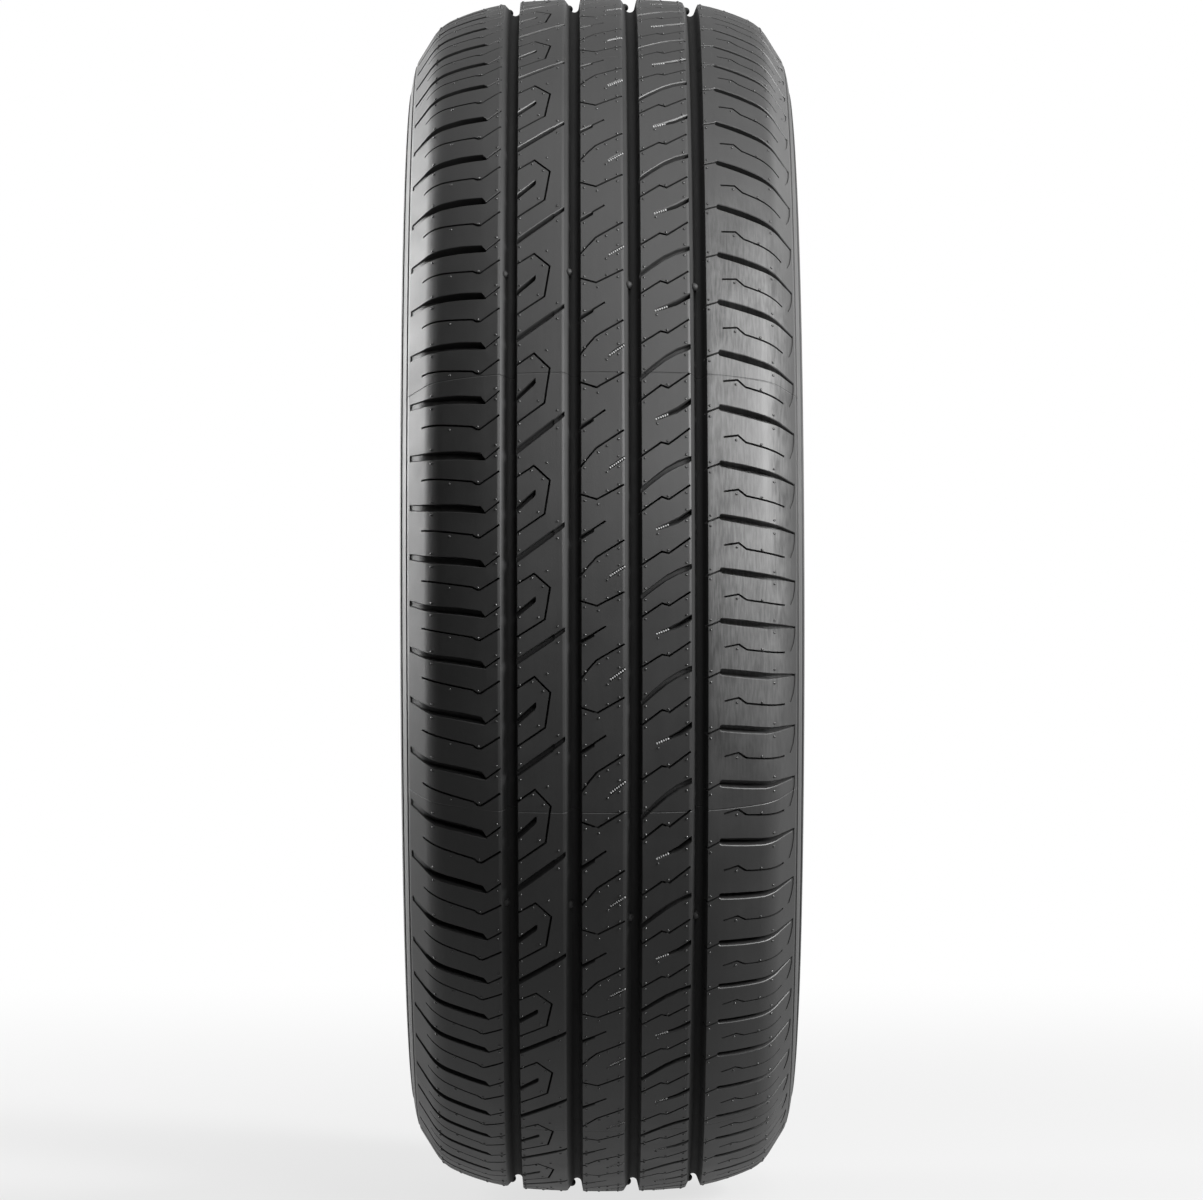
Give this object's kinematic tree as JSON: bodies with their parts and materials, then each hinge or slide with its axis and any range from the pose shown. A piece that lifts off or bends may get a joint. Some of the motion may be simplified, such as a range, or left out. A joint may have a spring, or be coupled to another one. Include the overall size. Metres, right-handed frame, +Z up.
{
  "type": "car tyre",
  "caption": "Tubeless road tyre with a ribbed, block-cut tread, plain side walls and open beads that seat on a wheel rim.",
  "frame": {"origin": "centre of the tyre, on the axle line and midway between the side walls", "axes": "+Y along the axle, +Z up and +X forwards, with the tyre standing upright as on a car"},
  "size_m": [0.7239, 0.23, 0.7238],
  "materials": {
    "rubber": "matte"
  },
  "bodies": {
    "root": {"tyre": "rubber"}
  },
  "joints": []
}
